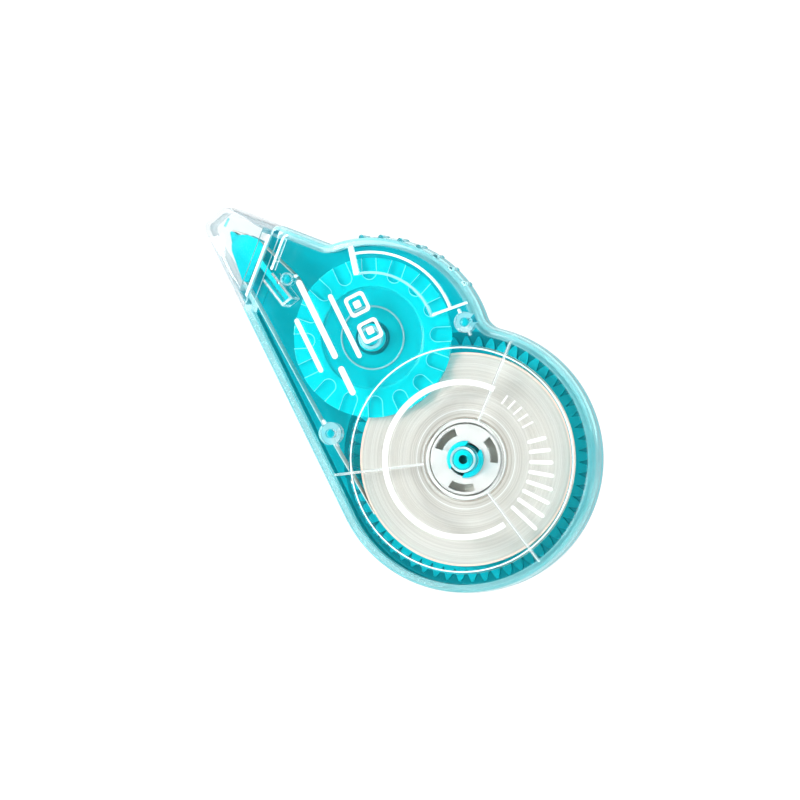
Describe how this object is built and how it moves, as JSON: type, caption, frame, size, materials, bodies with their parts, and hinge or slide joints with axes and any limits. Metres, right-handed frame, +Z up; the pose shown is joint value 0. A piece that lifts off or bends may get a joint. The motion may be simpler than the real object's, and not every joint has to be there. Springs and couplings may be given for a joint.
{
  "type": "correction tape roller",
  "caption": "Flat clear-cased correction tape dispenser with a toothed supply reel, a geared take-up reel, a wedge applicator head and a slide-off tip cap.",
  "frame": {"origin": "middle of the flat underside of the case", "axes": "+X from the applicator tip to the supply lobe, +Z up through the clear cover, +Y towards the thumb-grip edge"},
  "size_m": [0.0982, 0.054, 0.015],
  "materials": {
    "teal_clear": "glossy translucent teal polystyrene",
    "clear_cover": "polished colourless polystyrene",
    "clear_cap": "polished colourless polypropylene",
    "cyan_head": "satin cyan acetal",
    "teal_gear": "satin teal acetal",
    "cyan_reel": "translucent cyan polypropylene",
    "friction_rubber": "matt silicone rubber",
    "white_clutch": "natural translucent white plastic",
    "white_core": "satin white plastic",
    "wound_tape": "edge of wound film with a silky sheen",
    "fresh_tape": "white-coated film",
    "used_tape": "bare carrier film"
  },
  "bodies": {
    "case": {"back_shell": "teal_clear", "front_shell": "clear_cover", "applicator_head": "cyan_head", "tape_run_fresh": "fresh_tape", "tape_run_used": "used_tape"},
    "cap": {"tip_cap": "clear_cap"},
    "supply_drive": {"supply_gear": "teal_gear", "friction_ring": "friction_rubber", "clutch_disc": "white_clutch"},
    "tape_reel": {"tape_core": "white_core", "tape_roll": "wound_tape"},
    "take_up": {"take_up_pinion": "teal_gear", "take_up_reel": "cyan_reel", "take_up_winding": "used_tape"}
  },
  "joints": [
    {"name": "cap_slide", "type": "slide", "parent": "case", "child": "cap", "axis": [-0.9317, -0.3633, 0], "range_m": [0, 0.022]},
    {"name": "supply_spin", "type": "hinge", "parent": "case", "child": "supply_drive", "pos_m": [0.02209, 0, 0.0025], "axis": [0, 0, 1], "continuous": true},
    {"name": "clutch_slip", "type": "hinge", "parent": "supply_drive", "child": "tape_reel", "pos_m": [0.02209, 0, 0.006], "axis": [0, 0, 1], "continuous": true},
    {"name": "take_up_spin", "type": "hinge", "parent": "case", "child": "take_up", "pos_m": [-0.00822, 0.00545, 0.0025], "axis": [0, 0, 1], "continuous": true}
  ],
  "couplings": [
    {"joint": "take_up_spin", "follows": "supply_spin", "ratio": -3.5294}
  ]
}
